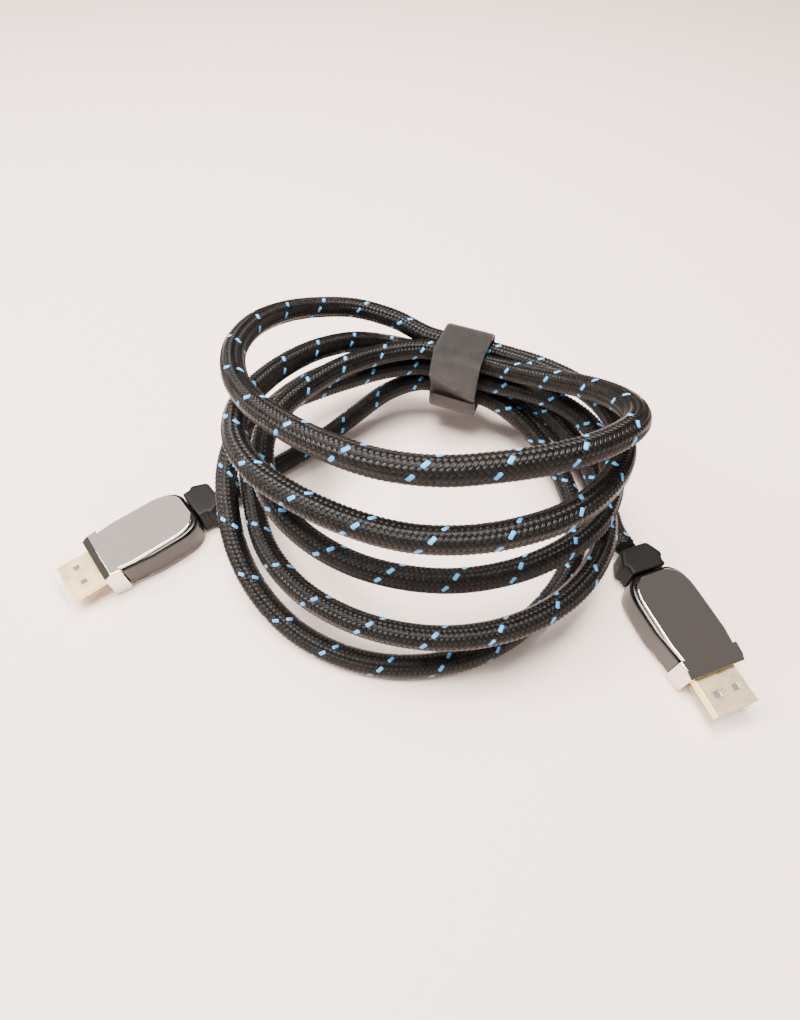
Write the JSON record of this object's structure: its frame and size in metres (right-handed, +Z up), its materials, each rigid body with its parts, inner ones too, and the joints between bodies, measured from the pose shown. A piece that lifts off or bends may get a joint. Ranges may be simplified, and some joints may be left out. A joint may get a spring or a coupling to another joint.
{
  "type": "hdmi cable",
  "caption": "Braided video cable, coiled in fanned loops and held by a hook-and-loop tie, with capped flat plugs at both ends.",
  "frame": {"origin": "on the table, under the middle of the whole outline", "axes": "+Z up from the table, +X along the longest side from plug a towards plug b, -Y towards the viewer of the picture"},
  "size_m": [0.221, 0.1486, 0.0804],
  "materials": {
    "braid": "glossy yarn braid, black with sky-blue flecks",
    "webbing": "woven loop tape, matte",
    "rubber": "satin black",
    "black_plastic": "satin black",
    "gunmetal": "mirror-polished black nickel",
    "gold": "pale gold plating, satin",
    "clear_plastic": "clear moulded plastic"
  },
  "bodies": {
    "cable_and_plugs": {"cable": "braid", "tie_strap": "webbing", "plug_a_strain_relief": "rubber", "plug_a_housing": "black_plastic", "plug_a_metal_cover": "gunmetal", "plug_a_shell": "gold", "plug_a_insulator": "black_plastic", "plug_b_strain_relief": "rubber", "plug_b_housing": "black_plastic", "plug_b_metal_cover": "gunmetal", "plug_b_shell": "gold", "plug_b_insulator": "black_plastic"},
    "cap_a": {"plug_a_dust_cap": "clear_plastic"},
    "cap_b": {"plug_b_dust_cap": "clear_plastic"}
  },
  "joints": [
    {"name": "cap_a_slide", "type": "slide", "parent": "cable_and_plugs", "child": "cap_a", "axis": [-0.7716, -0.6361, 0], "range_m": [0, 0.016]},
    {"name": "cap_b_slide", "type": "slide", "parent": "cable_and_plugs", "child": "cap_b", "axis": [0.3338, -0.9426, 0], "range_m": [0, 0.016]}
  ]
}
